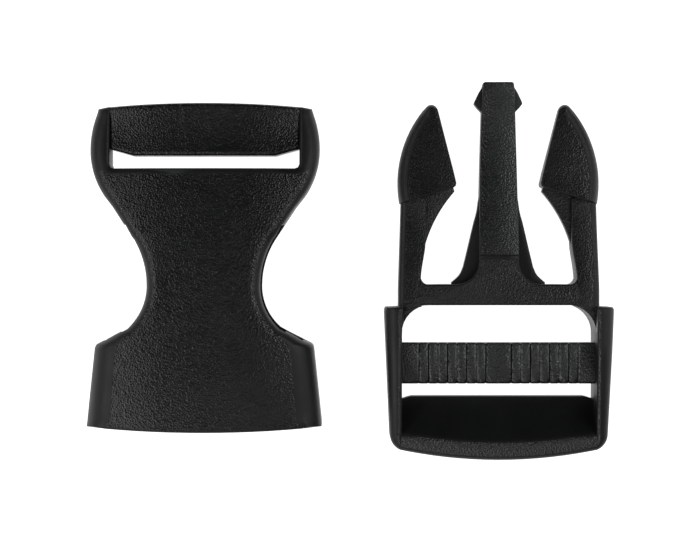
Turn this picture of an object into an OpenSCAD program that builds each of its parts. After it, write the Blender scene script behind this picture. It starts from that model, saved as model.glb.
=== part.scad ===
// Side release buckle for 25 mm webbing, unfastened: socket and plug lie flat, side by side.
// Each half is drawn round the middle of its own joining plane, where Y points along the plug.
// Plugged in, the two local frames coincide, so the socket is cut from the sizes of the plug.

/* [Webbing] */
// Width of the webbing that both halves take
webbing_w = 25; // [22:0.5:28]
// Side play of the webbing in the slots of the plug
plug_slot_play = 0.9; // [0.5:0.1:1.5]
// Side play of the webbing in the slot of the socket
socket_slot_play = 0.5; // [0.3:0.1:1.2]

/* [Both halves] */
// Thickness of the socket at its mouth and of the plug at its shoulder
body_h = 10; // [9.8:0.1:11]
// Gap on each side between plug and socket when they are joined
joining_fit = 0.12; // [0.08:0.01:0.2]
// Distance between the middle lines of the two halves as they lie
lying_apart = 39.4; // [38:0.2:44]
// How far the shoulder of the plug lies ahead of the mouth of the socket
lying_ahead = 16.8; // [10:0.2:20]

/* [Plug arms] */
// Distance from the middle of the plug to the outer face of an arm
arm_out = 13.2; // [12.8:0.05:13.8]
// Width of an arm at its root, seen from above
arm_w = 2.9; // [2.6:0.05:3.1]
// Distance from the shoulder of the plug to the tip of an arm
arm_l = 26.9; // [26:0.1:27.5]
// How far the outer face of the beam leans inward up to the barb
arm_lean = 0.4; // [0:0.05:0.6]
// Thickness of the beam that carries the barb
beam_h = 4.4; // [4:0.1:4.6]
// Thickness of the thin web beside the beam
web_h = 2.2; // [1.6:0.1:3]
// Radius of the hollow inner edge of the web
web_r = 18.7; // [17:0.1:20]
// Distance from the shoulder of the plug to the catching face of a barb
barb_y = 13.7; // [13.4:0.05:14.2]
// Rake of the catching face
barb_rake = 17; // [12:1:20]
// Thickness of a barb at its catching face
barb_h = 6.2; // [5.8:0.1:6.4]
// Thickness of a barb at its tip
barb_tip_h = 3.2; // [2.6:0.1:3.6]
// Radius of the bowed outer face of a barb
barb_r = 15.6; // [15:0.1:16.4]
// Distance from the shoulder of the plug to the widest place of a barb
barb_belly_y = 16.5; // [16:0.1:17]
// Distance from the middle of the plug to the inner corner of a barb
barb_in = 5.65; // [5.5:0.05:6]
// Radius of the round tip of a barb
barb_tip_r = 0.8; // [0.6:0.05:1]
// How far each arm can be pressed inward, in degrees
squeeze_a = 12; // [8:0.5:12]
// Running clearance round the knuckle of an arm
knuckle_fit = 0.05; // [0.03:0.01:0.08]
// Clearance above and below the knuckle
knuckle_side_fit = 0.15; // [0.1:0.05:0.2]

/* [Plug prong] */
// Distance from the shoulder of the plug to the tip of the middle prong
prong_l = 30; // [29.2:0.1:30.6]
// Width of the raised spine where it is widest
spine_w = 5.3; // [5:0.1:5.4]
// Width of the raised spine at the tip
spine_tip_w = 4.2; // [3.6:0.1:4.4]
// Thickness of the spine at its root
spine_h = 5.6; // [5:0.1:6]
// Thickness of the spine at its tip
spine_tip_h = 2.8; // [2.4:0.1:3]
// Thickness of the flanges and of the arrow head
flange_h = 2.4; // [2:0.1:2.6]
// Width of the arrow head
arrow_w = 6.5; // [6.2:0.1:7]
// Distance from the tip of the prong back to the widest place of the arrow head
arrow_l = 2.8; // [2.4:0.1:3.2]
// Width of the flanges where they leave the crossbar
flange_root_w = 9.4; // [8.4:0.1:10]

/* [Plug frame] */
// Width of a cheek at the shoulder
plug_cheek = 2.35; // [2:0.05:3]
// How much narrower each side is at the lip than at the shoulder
frame_taper = 0.75; // [0.4:0.05:1]
// Distance from the shoulder to the upper edge of the crossbar
window_y = 2.95; // [2.7:0.05:3.2]
// Length of the crossbar between slot and arms
crossbar_l = 2.8; // [2.4:0.1:3]
// Thickness of the crossbar, which goes into the socket
crossbar_h = 6.6; // [6.4:0.1:6.8]
// Length of the wide slot below the crossbar
slot_l = 5; // [4.6:0.1:6]
// Radius of the upper corners of the wide slot
slot_r = 3.5; // [2:0.1:4]
// Length of the ladder bar
ladder_l = 5.5; // [4.5:0.1:6.5]
// Thickness of the ladder bar
ladder_h = 4; // [3:0.1:5]
// Distance between two grooves of the ladder bar
groove_pitch = 1.28; // [1.1:0.02:1.6]
// Depth of a groove
groove_depth = 0.4; // [0.2:0.05:0.6]
// Width of the plain middle of the ladder bar
ladder_plain_w = 3.4; // [2.5:0.1:5]
// Length of the narrow slot below the ladder bar
lower_slot_l = 1.7; // [1.5:0.1:2.5]
// Length of the end bar with its sloping face and lip
end_bar_l = 8.5; // [7:0.1:10]
// Length of the lip
lip_l = 2.85; // [2:0.05:4]
// Thickness of the inner edge of the end bar
end_bar_edge = 1.9; // [1.4:0.1:2.5]
// Height of the crest of the lip above the back
lip_h = 8.2; // [7:0.1:9]
// Radius of the two corners at the lip
lip_corner_r = 2.3; // [1.5:0.1:3]
// How far the edge of the lip bows out
lip_bow = 1.2; // [0.4:0.1:1.4]
// Thickness of the walls round the hollow under the end bar
end_bar_wall = 1.9; // [1.6:0.1:2.2]

/* [Socket] */
// Distance from the mouth to the end of the webbing bar
socket_l = 44; // [43:0.2:46]
// Thickness of the side wall at the mouth
mouth_wall = 2.1; // [1.8:0.1:2.6]
// Thickness of the side wall where the barrel ends
barrel_wall = 1.3; // [1.1:0.1:1.6]
// Length of the barrel along its side
barrel_l = 11.9; // [11.4:0.1:12]
// How far the edge of the mouth bows out
mouth_bow = 0.7; // [0.3:0.1:1]
// Thickness of the upper and of the lower plate
plate = 1.5; // [1.4:0.05:1.6]
// Thickness of the walls inside the neck
neck_wall = 1.4; // [1.2:0.1:1.8]
// Radius of the long arch of the upper plate, seen from the side
arch_r = 165; // [150:5:220]
// Where the arch of the upper plate starts to fall
arch_y = 6; // [4:0.5:8]
// Width of the waist
waist_w = 15.2; // [14.4:0.2:16.4]
// Distance from the mouth to the waist
waist_y = 19.5; // [19:0.1:20]
// Radius of the hollow side below the waist
waist_low_r = 7.4; // [7.2:0.1:7.6]
// Radius of the hollow side above the waist
waist_high_r = 11.8; // [11.2:0.1:12.4]
// Gap between a pressed barb and the ledge that it passes
ledge_fit = 0.2; // [0.15:0.05:0.4]
// Gap between the tip of a barb and the end of its window
window_play = 0.8; // [0.5:0.1:1.2]
// Gap between the prong and the end and sides of its pocket
pocket_play = 0.4; // [0.3:0.05:0.6]
// Width of a cheek beside the webbing slot
socket_cheek = 2.5; // [2.2:0.1:3]
// Length of the webbing bar
bar_l = 7; // [6:0.1:7.6]
// Length of the webbing slot
socket_slot_l = 1.75; // [1.6:0.05:2.4]
// How much longer the webbing slot is at its two ends
slot_end_l = 0.9; // [0.4:0.1:1.2]
// Height of the inner edge of the webbing bar above the back
bar_edge_h = 4.4; // [4:0.1:5]
// Gap under the webbing bar
bar_lift = 1; // [0.6:0.1:1.4]
// Radius of the wide shoulders beside the webbing slot
shoulder_r = 11.3; // [10.5:0.1:12]

/* [Hidden] */
$fn = 48;
plastic = "#1e1f21";
far = 60;
mid_z = body_h / 2;

// Plug, from the shoulder plane
plug_slot_half = (webbing_w + plug_slot_play) / 2;
frame_half = plug_slot_half + plug_cheek;
slot_top = window_y - crossbar_l;
ladder_top = slot_top - slot_l;
lower_slot_top = ladder_top - ladder_l;
end_bar_top = lower_slot_top - lower_slot_l;
frame_end = end_bar_top - end_bar_l;
lip_top = frame_end + lip_l;
frame_edge_h = 7.4;
frame_back_rise = 1.2;

// Arms, from the shoulder plane
knuckle_r = arm_w / 2;
hinge_x = arm_out - knuckle_r;
hinge_y = window_y + (knuckle_r + knuckle_fit) * sin(squeeze_a + 1.5);
arm_in = arm_out - arm_w;
rib_in = arm_in - 0.65;
barb_c = [arm_out - barb_r, barb_belly_y];
barb_tip_a = asin((arm_l - barb_tip_r - barb_belly_y) / (barb_r - barb_tip_r));
barb_tip_c = barb_c + (barb_r - barb_tip_r) * [cos(barb_tip_a), sin(barb_tip_a)];
barb_low_a = asin((barb_y - barb_belly_y) / barb_r);
barb_in_y = barb_y + (arm_out - barb_in) * tan(barb_rake);
barb_low = barb_c + barb_r * [cos(barb_low_a), sin(barb_low_a)];
barb_thin_y = barb_y + 1.2;
squeezed_low = hinge_x + (barb_low.x - hinge_x) * cos(squeeze_a) - (barb_y - hinge_y) * sin(squeeze_a);
squeezed_belly = hinge_x + knuckle_r * cos(squeeze_a) - (barb_belly_y - hinge_y) * sin(squeeze_a);

// Socket, from the mouth plane
cavity_half = arm_out + joining_fit;
cavity_top = body_h - plate;
mouth_half = cavity_half + mouth_wall;
barrel_half = cavity_half + barrel_wall - 0.15;
waist_half = waist_w / 2;
slot_half = (webbing_w + socket_slot_play) / 2;
top_half = slot_half + socket_cheek;
bar_y = socket_l - bar_l;
slot_y = bar_y - socket_slot_l;
shoulder_y = bar_y + 1;
window_end = arm_l + window_play;
pocket_end = prong_l + pocket_play;
pocket_half = arrow_w / 2 + pocket_play;
neck_half = waist_half + waist_high_r * (1 - cos(asin((window_end - waist_y) / waist_high_r))) - neck_wall;
neck_end = slot_y - neck_wall;
ledge_in = max(squeezed_low, squeezed_belly) + ledge_fit;
ledge_y = window_y + 0.3;
ledge_ramp_l = 3.2;
ledge_gap = beam_h + 0.4;
mouth_chamfer = 0.5;

// Both halves as they lie, centred on the origin
plug_x = (lying_apart + mouth_half - frame_half) / 2;
socket_x = plug_x - lying_apart;
low_y = min(0, lying_ahead + frame_end);
high_y = max(socket_l, lying_ahead + prong_l);
socket_y = -(low_y + high_y) / 2;
plug_y = socket_y + lying_ahead;

// Points along an arc from angle a0 to angle a1
function arc(c, r, a0, a1, n = 8) = [for (i = [0:n]) c + r * [cos(a0 + (a1 - a0) * i / n), sin(a0 + (a1 - a0) * i / n)]];

// Closed outline from the points of its right half
function both(pts) = concat(pts, [for (i = [len(pts) - 1:-1:0]) [-pts[i].x, pts[i].y]]);

// A shallow arch between -w and w that bows by b, right half only
function arch(w, b, y, up, n = 6) = [for (i = [1:n]) [w * i / n, y + up * b * pow(i / n, 2)]];

// Height of the upper plate at a distance from the mouth
function roof(y) = body_h - pow(max(0, y - arch_y), 2) / (2 * arch_r);

module slab(h) {
    translate([0, 0, mid_z - h / 2])
        linear_extrude(h)
            children();
}

// A side view, Y to the right and Z up, carried across the whole width
module across(w = far) {
    rotate([90, 0, 90])
        linear_extrude(w, center = true)
            children();
}

// Side view of a piece that thins from h0 up to y0 down to h1 at y1
module thinning(y0, y1, h0, h1) {
    across()
        polygon([
            [-far, mid_z - h0 / 2], [y0, mid_z - h0 / 2], [y1, mid_z - h1 / 2],
            [y1, mid_z + h1 / 2], [y0, mid_z + h0 / 2], [-far, mid_z + h0 / 2]
        ]);
}

// Socket

function socket_half_outline() = concat(
    arch(mouth_half, mouth_bow, 0, 1),
    arc([barrel_half - 0.8, barrel_l - 0.8], 0.8, 0, 60, 3),
    arc([waist_half + waist_low_r, waist_y], waist_low_r, 229, 180, 8),
    arc([waist_half + waist_high_r, waist_y], waist_high_r, 175, 149, 6),
    arc([top_half - shoulder_r, shoulder_y], shoulder_r, -35, 0, 6),
    arc([top_half - shoulder_r * 1.2, shoulder_y], shoulder_r * 1.2, 5, 20.5, 4),
    [for (i = [4:-1:1]) [(top_half - 0.95) * i / 4, socket_l - 0.9 * pow(i / 4, 2)]]
);

module socket_shell() {
    intersection() {
        linear_extrude(body_h)
            polygon(both(socket_half_outline()));
        across()
            polygon(concat(
                [[-1, 0], [socket_l + 1, 0]],
                [for (i = [12:-1:0]) let (y = arch_y + (socket_l + 1 - arch_y) * i / 12) [y, roof(y)]],
                [[-1, body_h]]
            ));
    }
}

// The room between the plates, with its open sides at the waist and the pocket of the prong
module socket_cavity() {
    intersection() {
        linear_extrude(body_h)
            difference() {
                polygon(both([
                    [cavity_half, -1], [cavity_half, barrel_l * 0.25], [cavity_half - 0.15, barrel_l + 0.3],
                    [far, barrel_l + 0.3], [far, window_end], [neck_half, window_end], [neck_half, neck_end]
                ]));
                difference() {
                    translate([-pocket_half - neck_wall, window_end])
                        square([2 * (pocket_half + neck_wall), far]);
                    translate([-pocket_half, -1])
                        square([2 * pocket_half, pocket_end + 1]);
                }
            }
        across()
            polygon(concat(
                [[-2, plate], [socket_l, plate]],
                [for (i = [8:-1:0]) let (y = arch_y + (socket_l - arch_y) * i / 8) [y, roof(y) - plate]],
                [[-2, cavity_top]]
            ));
    }
}

// Ledges above and below the arms, which the barbs catch behind
module socket_ledges() {
    for (side = [-1, 1])
        scale([side, 1, 1])
            difference() {
                linear_extrude(body_h - plate / 2)
                    polygon([
                        [cavity_half + 0.5, ledge_y], [cavity_half, ledge_y],
                        [ledge_in, ledge_y + ledge_ramp_l], [ledge_in, far], [cavity_half + 0.5, far]
                    ]);
                slab(ledge_gap)
                    square([far, far]);
                translate([0, 0, -1])
                    cube([far, far, plate / 2 + 1]);
            }
}

module webbing_bar() {
    intersection() {
        linear_extrude(body_h)
            polygon(both(socket_half_outline()));
        across(2 * slot_half + 1)
            polygon([
                [bar_y, bar_lift + 0.6], [bar_y + 0.6, bar_lift], [socket_l + 1, bar_lift],
                [socket_l + 1, roof(socket_l + 1)], [socket_l - 1.8, roof(socket_l - 1.8)],
                [bar_y + 0.6, bar_edge_h], [bar_y, bar_edge_h - 0.6]
            ]);
        linear_extrude(body_h)
            polygon(both([
                [slot_half * 0.75, bar_y], [slot_half + 0.5, bar_y + slot_end_l],
                [slot_half + 0.5, socket_l + 1]
            ]));
    }
}

module socket() {
    color(plastic)
        translate([socket_x, socket_y, 0]) {
            difference() {
                socket_shell();
                difference() {
                    socket_cavity();
                    socket_ledges();
                }
                translate([-slot_half, slot_y, -1])
                    cube([2 * slot_half, far, body_h + 2]);
                across(2 * cavity_half)
                    polygon([
                        [-1, plate - mouth_chamfer - 1], [mouth_bow + mouth_chamfer, plate],
                        [mouth_bow + mouth_chamfer, cavity_top], [-1, cavity_top + mouth_chamfer + 1]
                    ]);
            }
            webbing_bar();
        }
}

// Plug

function frame_half_outline() = concat(
    arch(frame_half - frame_taper - lip_corner_r, lip_bow, frame_end, 1),
    arc(
        [frame_half - frame_taper - lip_corner_r, frame_end + lip_bow + lip_corner_r],
        lip_corner_r, -78, 0, 6
    ),
    [[frame_half, -0.4], [frame_half - 0.4, 0]]
);

module frame_side_view() {
    across()
        polygon([
            [0, 0.4], [0, body_h - 0.4], [-0.4, body_h], [-6, body_h], [lip_top, lip_h + 0.2],
            [frame_end - 0.1, frame_edge_h], [frame_end - 0.1, frame_back_rise],
            [frame_end + 2, 0], [-0.4, 0]
        ]);
}

// Wide slot with round upper corners, and everything below it down to the lip
module frame_opening() {
    polygon(both(concat(
        [[plug_slot_half, lip_top]],
        arc([plug_slot_half - slot_r, slot_top - slot_r], slot_r, 0, 90, 8)
    )));
}

module cheeks() {
    intersection() {
        frame_side_view();
        linear_extrude(body_h)
            difference() {
                polygon(both(frame_half_outline()));
                frame_opening();
            }
    }
}

module crossbar() {
    slab(crossbar_h)
        difference() {
            translate([-arm_out, slot_top - slot_r])
                square([2 * arm_out, window_y - slot_top + slot_r]);
            frame_opening();
        }
}

module ladder_bar() {
    grooves = floor((plug_slot_half - ladder_plain_w / 2) / groove_pitch);
    difference() {
        across(2 * plug_slot_half + 1)
            polygon([
                [lower_slot_top, mid_z - ladder_h / 2 + 0.5], [lower_slot_top + 0.5, mid_z - ladder_h / 2],
                [ladder_top - 0.5, mid_z - ladder_h / 2], [ladder_top, mid_z - ladder_h / 2 + 0.5],
                [ladder_top, mid_z + ladder_h / 2 - 0.4], [ladder_top - 0.4, mid_z + ladder_h / 2],
                [lower_slot_top + 0.4, mid_z + ladder_h / 2], [lower_slot_top, mid_z + ladder_h / 2 - 0.4]
            ]);
        for (side = [-1, 1], i = [0:grooves - 1])
            translate([side * (ladder_plain_w / 2 + (i + 0.25) * groove_pitch), 0, mid_z + ladder_h / 2])
                rotate([90, 45, 0])
                    cube([groove_depth * sqrt(2), groove_depth * sqrt(2), far], center = true);
    }
}

module end_bar() {
    intersection() {
        linear_extrude(body_h)
            polygon(both(frame_half_outline()));
        across(2 * plug_slot_half + 1)
            polygon([
                [end_bar_top, end_bar_edge / 2 + 0.4], [end_bar_top, end_bar_edge + 1.2],
                [end_bar_top - 0.3, end_bar_edge + 1.6], [lip_top, lip_h],
                [frame_end - 0.1, frame_edge_h], [frame_end - 0.1, frame_back_rise],
                [frame_end + 2, 0], [end_bar_top - 2, 0]
            ]);
    }
}

// Hollow under the end bar, open to the back
module end_bar_hollow() {
    across(2 * plug_slot_half - end_bar_wall)
        polygon([
            [end_bar_top - 3.2, -1], [end_bar_top - 3.2, end_bar_edge],
            [lip_top + 0.4, lip_h - end_bar_wall - 0.6], [frame_end + end_bar_wall + lip_bow, lip_h - end_bar_wall - 0.8],
            [frame_end + end_bar_wall + lip_bow, -1]
        ]);
}

module prong() {
    spine_half = spine_w / 2;
    tip_half = spine_tip_w / 2;
    flange_half = flange_root_w / 2;
    arrow_y = prong_l - arrow_l;
    slab(crossbar_h)
        polygon(both([[flange_half, window_y - 0.5], [spine_half + 0.9, window_y + 1], [spine_half, window_y + 3.2]]));
    intersection() {
        thinning(window_y + 5, prong_l, spine_h, spine_tip_h);
        slab(body_h)
            polygon(both([
                [spine_half, slot_top + 0.5], [spine_half, window_y + 6],
                [tip_half + 0.2, arrow_y - 2], [tip_half, prong_l - 0.3], [tip_half - 0.3, prong_l]
            ]));
    }
    slab(flange_h)
        polygon(both([
            [flange_half + 1.9, window_y - 0.5], [flange_half + 0.6, window_y + 1.1], [flange_half, window_y + 2.4],
            [spine_half + 0.02, window_y + 11], [tip_half + 0.2, arrow_y - 1.4],
            [arrow_w / 2, arrow_y - 0.15], [arrow_w / 2, arrow_y + 0.15],
            [tip_half, prong_l - 0.3], [tip_half - 0.3, prong_l]
        ]));
}

// Room for the knuckle of an arm inside the end of the crossbar, on the right side
module knuckle_seat() {
    slab(beam_h + 2 * knuckle_side_fit) {
        translate([hinge_x, hinge_y])
            circle(knuckle_r + knuckle_fit);
        translate([hinge_x + knuckle_r * 0.75, hinge_y - knuckle_r * 0.6])
            square([far, far]);
    }
}

module plug_frame() {
    color(plastic)
        translate([plug_x, plug_y, 0])
            difference() {
                union() {
                    cheeks();
                    crossbar();
                    ladder_bar();
                    end_bar();
                    prong();
                }
                end_bar_hollow();
                for (side = [-1, 1])
                    scale([side, 1, 1])
                        knuckle_seat();
            }
}

// The right arm, from the shoulder plane
module arm() {
    slab(beam_h) {
        translate([hinge_x, hinge_y])
            circle(knuckle_r);
        polygon([
            [arm_in, hinge_y], [arm_out, hinge_y], [arm_out - arm_lean, barb_y], [arm_out - arm_lean, barb_y + 2],
            [rib_in, barb_y + 2], [rib_in, window_y + 5.4]
        ]);
    }
    slab(web_h)
        intersection() {
            polygon(concat(
                arc([arm_in - web_r, window_y], web_r, 5, 46, 10),
                [[barb_in + 1.5, barb_in_y + 1.5], [hinge_x, barb_y + 2], [hinge_x, hinge_y + 1]]
            ));
            translate([barb_in, 0])
                square([far, far]);
        }
    intersection() {
        thinning(barb_thin_y, arm_l, barb_h, barb_tip_h);
        slab(barb_h)
            polygon(concat(
                arc(barb_c, barb_r, barb_low_a, barb_tip_a, 12),
                arc(barb_tip_c, barb_tip_r, barb_tip_a, 166, 5),
                [[barb_in, barb_in_y + 0.4], [barb_in + 0.25, barb_in_y]]
            ));
    }
}

module right_arm() {
    color(plastic)
        translate([plug_x, plug_y, 0])
            arm();
}

module left_arm() {
    color(plastic)
        translate([plug_x, plug_y, 0])
            mirror([1, 0, 0])
                arm();
}

socket();
plug_frame();
left_arm();
right_arm();
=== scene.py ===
import math

import bpy
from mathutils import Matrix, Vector


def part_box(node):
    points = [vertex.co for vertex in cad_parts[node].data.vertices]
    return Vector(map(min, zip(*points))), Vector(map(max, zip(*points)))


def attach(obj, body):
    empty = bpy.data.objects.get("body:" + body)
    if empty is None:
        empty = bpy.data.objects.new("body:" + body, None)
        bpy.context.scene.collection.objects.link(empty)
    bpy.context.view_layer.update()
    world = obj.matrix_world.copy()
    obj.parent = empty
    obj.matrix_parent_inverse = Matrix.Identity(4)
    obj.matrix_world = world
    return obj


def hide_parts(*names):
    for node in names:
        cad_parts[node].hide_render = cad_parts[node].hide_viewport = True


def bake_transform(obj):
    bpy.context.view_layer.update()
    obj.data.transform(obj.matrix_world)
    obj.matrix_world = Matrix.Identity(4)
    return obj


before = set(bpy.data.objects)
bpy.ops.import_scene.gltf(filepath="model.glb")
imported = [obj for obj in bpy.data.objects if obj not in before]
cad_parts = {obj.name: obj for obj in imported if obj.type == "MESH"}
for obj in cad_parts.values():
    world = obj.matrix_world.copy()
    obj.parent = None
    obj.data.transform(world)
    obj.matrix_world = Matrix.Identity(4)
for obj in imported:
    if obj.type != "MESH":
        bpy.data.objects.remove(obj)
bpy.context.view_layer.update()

mm = 0.001

# Camera straight above the two halves, places in mm

viewpoint = {
    "x": -0.1,
    "y": -0.14,
    "height": 350.0,
    "lens": 132.0,
    "sensor": 36.0,
    "near": 10.0,
    "far": 5000.0,
}

bpy.ops.object.select_all(action="DESELECT")
bpy.ops.object.camera_add(
    location=(viewpoint["x"] * mm, viewpoint["y"] * mm, viewpoint["height"] * mm),
    rotation=(0, 0, 0),
)
camera = bpy.context.object
camera.name = "viewFromAbove"
camera.data.lens = viewpoint["lens"]
camera.data.sensor_width = viewpoint["sensor"]
camera.data.clip_start = viewpoint["near"] * mm
camera.data.clip_end = viewpoint["far"] * mm
bpy.context.scene.camera = camera

# Finishes of the moulded plastic: size and depth of the grain in mm, roughness, spread of the tone, gloss

finishes = {
    "panel": {
        "cell": 0.24,
        "depth": 0.085,
        "roughLow": 0.28,
        "roughHigh": 0.34,
        "spread": 0.25,
        "gloss": 0.40,
    },
    "satin": {
        "cell": 0.18,
        "depth": 0.006,
        "roughLow": 0.44,
        "roughHigh": 0.52,
        "spread": 0.18,
        "gloss": 0.34,
    },
    "fine": {
        "cell": 0.22,
        "depth": 0.055,
        "roughLow": 0.28,
        "roughHigh": 0.34,
        "spread": 0.25,
        "gloss": 0.60,
    },
    "prong": {
        "cell": 0.24,
        "depth": 0.075,
        "roughLow": 0.30,
        "roughHigh": 0.36,
        "spread": 0.25,
        "gloss": 0.56,
    },
    "bar": {
        "cell": 0.24,
        "depth": 0.092,
        "roughLow": 0.34,
        "roughHigh": 0.42,
        "spread": 0.25,
        "gloss": 0.72,
    },
}

nylon = {
    "black": (0.0038, 0.0046, 0.0044),
    "refraction": 1.5,
    "pebbleBlend": 0.3,    # how softly the pebbles of the grain run together
    "rippleSize": 1.4,     # ripples under them, in pebbles
    "rippleShare": 0.35,
    "patches": 260.0,      # patches of tone and sheen to the metre
    "highlightedEdgeFrom": 0.54,    # sharpness from which an edge is painted lighter as a highlight, and at which the painted highlight is full
    "highlightedEdgeTo": 0.66,
    "highlightedEdgeTone": 7.0,     # how much lighter than black the painted edge highlight is
}


def addNode(material, kind, **settings):
    node = material.node_tree.nodes.new(kind)
    for key, value in settings.items():
        setattr(node, key, value)
    return node


def setInputs(node, **values):
    for key, value in values.items():
        node.inputs[key.replace("_", " ")].default_value = value
    return node


def toned(share):
    return (*[part * share for part in nylon["black"]], 1)


def grainBump(material, place, look):
    # pebbles of the mould's grain on broader ripples
    link = material.node_tree.links.new
    pebbles = addNode(material, "ShaderNodeTexVoronoi", feature="SMOOTH_F1")
    setInputs(pebbles, Scale=1 / (look["cell"] * mm), Smoothness=nylon["pebbleBlend"])
    link(place.outputs["Object"], pebbles.inputs["Vector"])
    ripples = addNode(material, "ShaderNodeTexNoise")
    setInputs(ripples, Scale=1 / (look["cell"] * mm * nylon["rippleSize"]), Detail=1.0, Roughness=0.6)
    link(place.outputs["Object"], ripples.inputs["Vector"])
    relief = addNode(material, "ShaderNodeMix", data_type="FLOAT")
    setInputs(relief, Factor=nylon["rippleShare"])
    link(pebbles.outputs["Distance"], relief.inputs["A"])
    link(ripples.outputs["Fac"], relief.inputs["B"])
    bump = addNode(material, "ShaderNodeBump")
    setInputs(bump, Strength=1.0, Distance=look["depth"] * mm)
    link(relief.outputs["Result"], bump.inputs["Height"])
    return bump


def blackWithPaintedEdgeHighlight(material, patches, look):
    # patches of darker and lighter black, greyer on sharp edges as a painted highlight
    link = material.node_tree.links.new
    surface = addNode(material, "ShaderNodeNewGeometry")
    # painted highlight: sharp edges get a lighter colour in place of the light they would catch
    paintedEdgeHighlight = addNode(material, "ShaderNodeMapRange")
    setInputs(paintedEdgeHighlight, From_Min=nylon["highlightedEdgeFrom"], From_Max=nylon["highlightedEdgeTo"], To_Min=0.0, To_Max=1.0)
    link(surface.outputs["Pointiness"], paintedEdgeHighlight.inputs["Value"])
    tone = addNode(material, "ShaderNodeMix", data_type="RGBA")
    tone.inputs["A"].default_value = toned(1 - look["spread"])
    tone.inputs["B"].default_value = toned(1 + look["spread"])
    link(patches.outputs["Fac"], tone.inputs["Factor"])
    colour = addNode(material, "ShaderNodeMix", data_type="RGBA")
    colour.inputs["B"].default_value = toned(nylon["highlightedEdgeTone"])
    link(paintedEdgeHighlight.outputs["Result"], colour.inputs["Factor"])
    link(tone.outputs["Result"], colour.inputs["A"])
    return colour


def mouldedPlastic(name, look):
    material = bpy.data.materials.new(name)
    material.use_nodes = True
    material.node_tree.nodes.clear()
    link = material.node_tree.links.new
    place = addNode(material, "ShaderNodeTexCoord")
    bump = grainBump(material, place, look)
    patches = addNode(material, "ShaderNodeTexNoise")
    setInputs(patches, Scale=nylon["patches"], Detail=3.0, Roughness=0.55)
    link(place.outputs["Object"], patches.inputs["Vector"])
    colour = blackWithPaintedEdgeHighlight(material, patches, look)
    sheen = addNode(material, "ShaderNodeMapRange")
    setInputs(sheen, From_Min=0.3, From_Max=0.7, To_Min=look["roughLow"], To_Max=look["roughHigh"])
    link(patches.outputs["Fac"], sheen.inputs["Value"])

    plastic = addNode(material, "ShaderNodeBsdfPrincipled")
    setInputs(plastic, IOR=nylon["refraction"], Specular_IOR_Level=look["gloss"])
    link(colour.outputs["Result"], plastic.inputs["Base Color"])
    link(sheen.outputs["Result"], plastic.inputs["Roughness"])
    link(bump.outputs["Normal"], plastic.inputs["Normal"])
    output = addNode(material, "ShaderNodeOutputMaterial")
    link(plastic.outputs["BSDF"], output.inputs["Surface"])
    return material


plastics = [mouldedPlastic(name + "Plastic", look) for name, look in finishes.items()]
panelSlot, satinSlot, fineSlot, prongSlot, barSlot = range(len(plastics))   # the same on every piece
print("finishes mixed")

# Shaping tools. Pieces are shaped in mm round the middle of the plane in which the two halves meet, with Y
# along the half and Z up from the table. settle() brings them to their place in metres.

thickness = 10.0
middle = 5.0          # the plug is the same above and below this height
clear = 1.0           # how far a cutter reaches past what it cuts
bottomRoll = 0.45     # rounding of the lower edges
nearCut = 0.0005      # a point this near to a cut lies on it
nearMiddle = 1e-6     # a point this near to the middle has no twin on the other side
smoothAngle = 38.0


def toward(a, b, share):
    return (a[0] + (b[0] - a[0]) * share, a[1] + (b[1] - a[1]) * share)


def between(outer, inner, share):
    return [toward(a, b, share) for a, b in zip(outer, inner)]


def gap(a, b):
    return math.hypot(a[0] - b[0], a[1] - b[1])


def line(a, b, steps):
    # points from a up to the last one before b
    return [(a[0] + (b[0] - a[0]) * i / steps, a[1] + (b[1] - a[1]) * i / steps) for i in range(steps)]


def arc(x, y, radius, start, end, steps):
    turns = [math.radians(start + (end - start) * i / steps) for i in range(steps + 1)]
    return [(x + radius * math.cos(turn), y + radius * math.sin(turn)) for turn in turns]


def widerArc(sweep, more, start, end, steps):
    x, y, radius = sweep
    return arc(x, y, radius + more, start, end, steps)


def apart(pairs):
    # outer edge and inner edge from pairs of their points
    return [a for a, b in pairs], [b for a, b in pairs]


def bothSides(half):
    # right half from the bottom to the top, then the left half back down
    return list(half) + [(-x, y) for x, y in reversed(half) if x > nearMiddle]


def mirrored(stations):
    # the stations to the left as well, in order along X
    return [-x for x in reversed(stations) if x > nearMiddle] + list(stations)


def pulledIn(outer, inner, distance):
    # the outline at a fixed distance inside the outer edge
    return [toward(a, b, min(1, distance / gap(a, b))) for a, b in zip(outer, inner)]


def ease(value, low, high):
    t = min(1, max(0, (value - low) / (high - low)))
    return t * t * (3 - 2 * t)


def rollSteps(steps):
    # share of the way in, and share of the way up, along a rounded edge
    turns = [math.pi / 2 * i / steps for i in range(steps + 1)]
    return [(1 - math.cos(turn), math.sin(turn)) for turn in turns]


def rounded(corners, steps=3):
    # closed outline with its corners rounded; a corner is (a, b, radius)
    points = []
    for i, (a, b, radius) in enumerate(corners):
        if radius == 0:
            points.append((a, b))
            continue
        here = Vector((a, b))
        back = (Vector(corners[i - 1][:2]) - here).normalized()
        ahead = (Vector(corners[(i + 1) % len(corners)][:2]) - here).normalized()
        half = back.angle(ahead) / 2
        reach = radius / math.tan(half)
        centre = here + (back + ahead).normalized() * radius / math.sin(half)
        first = here + back * reach - centre
        last = here + ahead * reach - centre
        for k in range(steps + 1):
            spoke = first.slerp(last, k / steps)   # of unit length
            points.append(tuple(centre + spoke * radius))
    return points


def only(piece):
    bpy.ops.object.select_all(action="DESELECT")
    piece.select_set(True)
    bpy.context.view_layer.objects.active = piece


def faceOutwards():
    bpy.ops.object.mode_set(mode="EDIT")
    bpy.ops.mesh.select_all(action="SELECT")
    bpy.ops.mesh.normals_make_consistent(inside=False)
    bpy.ops.object.mode_set(mode="OBJECT")


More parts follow.
